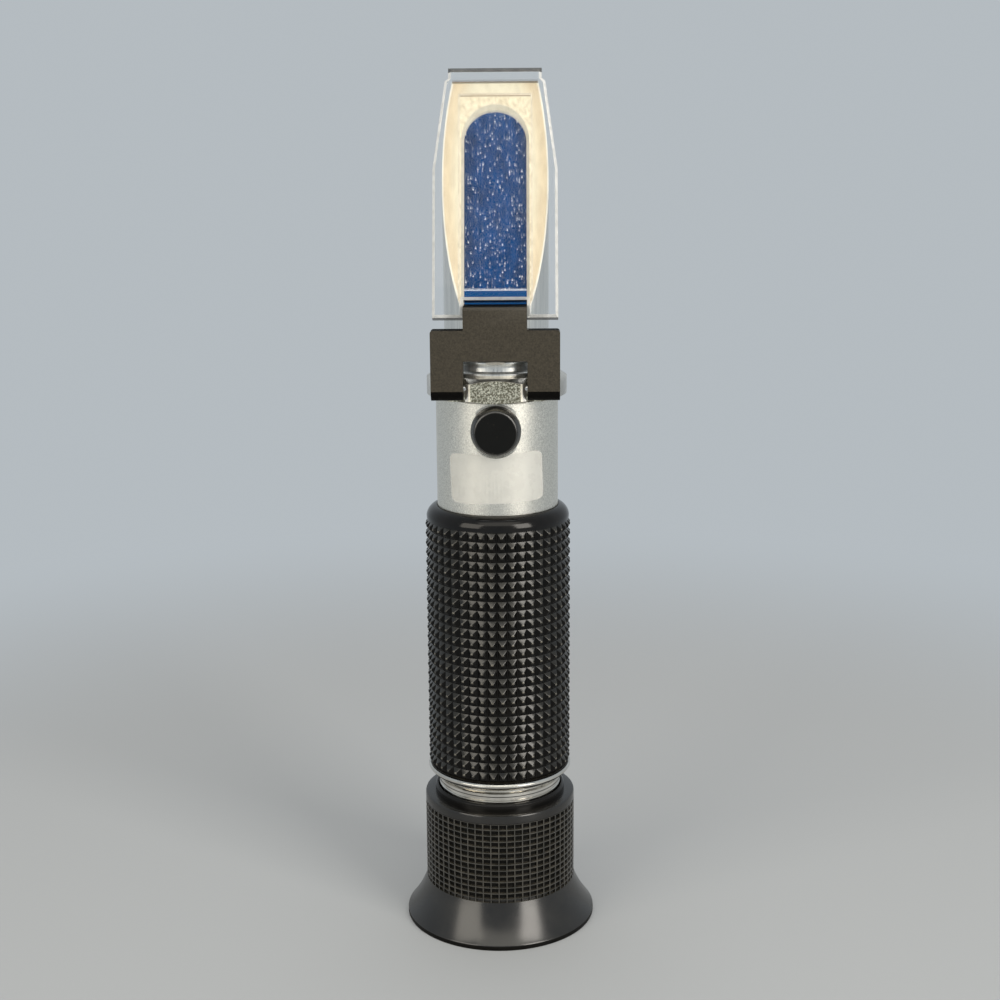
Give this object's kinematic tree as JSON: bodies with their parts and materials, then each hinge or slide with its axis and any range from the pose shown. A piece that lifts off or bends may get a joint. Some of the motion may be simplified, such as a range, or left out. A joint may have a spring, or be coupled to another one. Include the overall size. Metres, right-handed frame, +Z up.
{
  "type": "portable refractometer",
  "caption": "Handheld refractometer on its eyecup: knurled tube, slanted prism face, hinged clear daylight plate, focusing eyepiece and capped calibration screw.",
  "frame": {"origin": "middle of the eyecup's rim, on the surface that the instrument stands on", "axes": "+Z up along the tube from the eyecup to the prism; -Y is the side of the slanted prism face and the cover; +X is to the right seen from that side"},
  "size_m": [0.0362, 0.0362, 0.1599],
  "materials": {
    "satin_metal": "sandblasted satin silver",
    "plated_metal": "polished plated",
    "prism_glass": "frosted blue measuring face",
    "mask_cream": "fine hammered cream",
    "seal_white": "smooth white",
    "inner_black": "matt black",
    "steel": "drawn steel",
    "strip_metal": "rolled",
    "grip_black": "glossy black, knurled",
    "seal_rubber": "satin",
    "label_film": "translucent film, bare",
    "brass": "turned",
    "lens_glass": "polished, coated",
    "clear_plastic": "clear, polished edges",
    "bracket_plastic": "fine moulded grain",
    "cap_rubber": "satin",
    "barrel_black": "gloss black",
    "eyecup_rubber": "satin, waffle pattern"
  },
  "bodies": {
    "optics_tube": {"body_tube": "satin_metal", "hinge_collar": "plated_metal", "prism_housing": "plated_metal", "main_prism": "prism_glass", "prism_mask": "mask_cream", "prism_seal": "seal_white", "light_baffle": "inner_black", "hinge_pin": "steel", "grip_sleeve": "grip_black", "end_ring": "plated_metal", "focus_neck": "plated_metal", "focus_guide_pin": "steel", "focus_seal": "seal_rubber", "label_film": "label_film", "calibration_bush": "brass", "carriage_seat": "inner_black", "bimetal_strip": "strip_metal", "strip_screw": "steel", "reticle_holder": "inner_black", "reticle_glass": "lens_glass", "reticle_retainer": "inner_black"},
    "daylight_cover": {"daylight_plate": "clear_plastic", "hinge_bracket": "bracket_plastic"},
    "rubber_cap": {"calibration_cap": "cap_rubber"},
    "set_screw": {"calibration_screw": "brass"},
    "objective": {"objective_carriage": "inner_black", "objective_lens": "lens_glass", "objective_retainer": "inner_black"},
    "lens_carrier": {"lens_cell": "inner_black", "lens_retainer": "inner_black", "eye_lens": "lens_glass", "lens_spacer": "inner_black", "field_lens": "lens_glass"},
    "eyepiece": {"eyepiece_barrel": "barrel_black", "barrel_retainer": "inner_black", "rubber_eyecup": "eyecup_rubber"}
  },
  "joints": [
    {"name": "cover_hinge", "type": "hinge", "parent": "optics_tube", "child": "daylight_cover", "pos_m": [0, -0.0111, 0.10465], "axis": [1, 0, 0], "range_deg": [0, 100]},
    {"name": "cap_pull", "type": "slide", "parent": "optics_tube", "child": "rubber_cap", "axis": [0, 1, 0], "range_m": [-0.0022, 0]},
    {"name": "calibration_turn", "type": "hinge", "parent": "optics_tube", "child": "set_screw", "pos_m": [0, -0.011, 0.097], "axis": [0, 1, 0], "range_deg": [-180, 180]},
    {"name": "objective_shift", "type": "slide", "parent": "optics_tube", "child": "objective", "axis": [0, 1, 0], "range_m": [-0.00025, 0.00025]},
    {"name": "focus_slide", "type": "slide", "parent": "optics_tube", "child": "lens_carrier", "axis": [0, 0, 1], "range_m": [-0.002, 0.002]},
    {"name": "focus_turn", "type": "hinge", "parent": "lens_carrier", "child": "eyepiece", "pos_m": [0, 0, 0.0186], "axis": [0, 0, 1], "range_deg": [-72, 72]}
  ],
  "couplings": [
    {"joint": "calibration_turn", "follows": "objective_shift", "rad_per_m": 12566},
    {"joint": "focus_turn", "follows": "focus_slide", "rad_per_m": 628.3}
  ]
}
